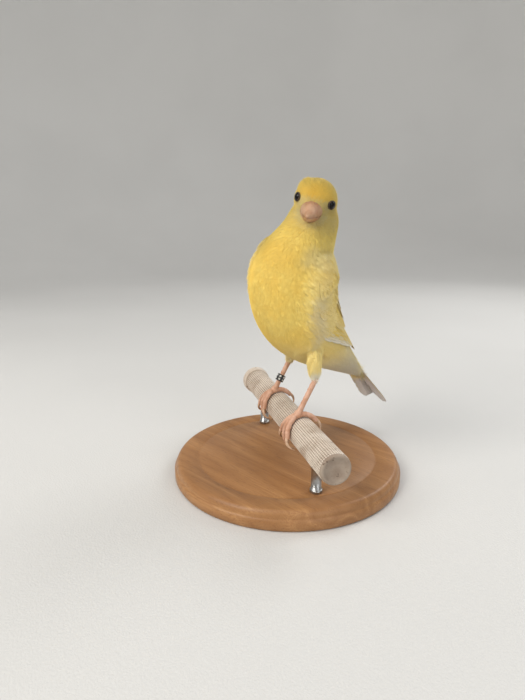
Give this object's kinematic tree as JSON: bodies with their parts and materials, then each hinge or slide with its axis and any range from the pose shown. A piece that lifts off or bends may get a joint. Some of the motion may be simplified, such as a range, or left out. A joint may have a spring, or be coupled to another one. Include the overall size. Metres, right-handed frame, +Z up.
{
  "type": "perched canary model",
  "caption": "Life-size model of a yellow canary gripping a short length of ribbed perch, head turned towards its left, held by a plain disc stand.",
  "frame": {"origin": "centre of the underside of the stand's base, straight below the perch midway between the feet", "axes": "+Z up; the body faces -Y and +X is the bird's left; the tail hangs towards +Y"},
  "size_m": [0.1001, 0.115, 0.1265],
  "materials": {
    "yellow_feathers": "soft overlapping feathers, warm yellow",
    "pale_feathers": "loose cream feathers",
    "tail_feathers": "pale grey-white vanes with yellow edges",
    "horn": "flesh-pink horn",
    "eye": "wet black",
    "bare_skin": "scaled orange-pink skin",
    "band": "black band with four pale dabs",
    "perch": "beige, finely ribbed and stained",
    "stand_wood": "plain oiled wood",
    "stand_metal": "brushed"
  },
  "bodies": {
    "root": {"head": "yellow_feathers", "neck": "yellow_feathers", "torso": "yellow_feathers", "wing_left": "yellow_feathers", "wing_right": "yellow_feathers", "thigh_left": "pale_feathers", "thigh_right": "pale_feathers", "tail": "tail_feathers", "bill_upper": "horn", "bill_lower": "horn", "eye_left": "eye", "eye_right": "eye", "shank_left": "bare_skin", "shank_right": "bare_skin", "foot_left": "bare_skin", "foot_right": "bare_skin", "leg_band": "band", "perch": "perch", "perch_collar": "perch", "stand_base": "stand_wood", "stand_rod_far": "stand_metal", "stand_rod_near": "stand_metal"}
  },
  "joints": []
}
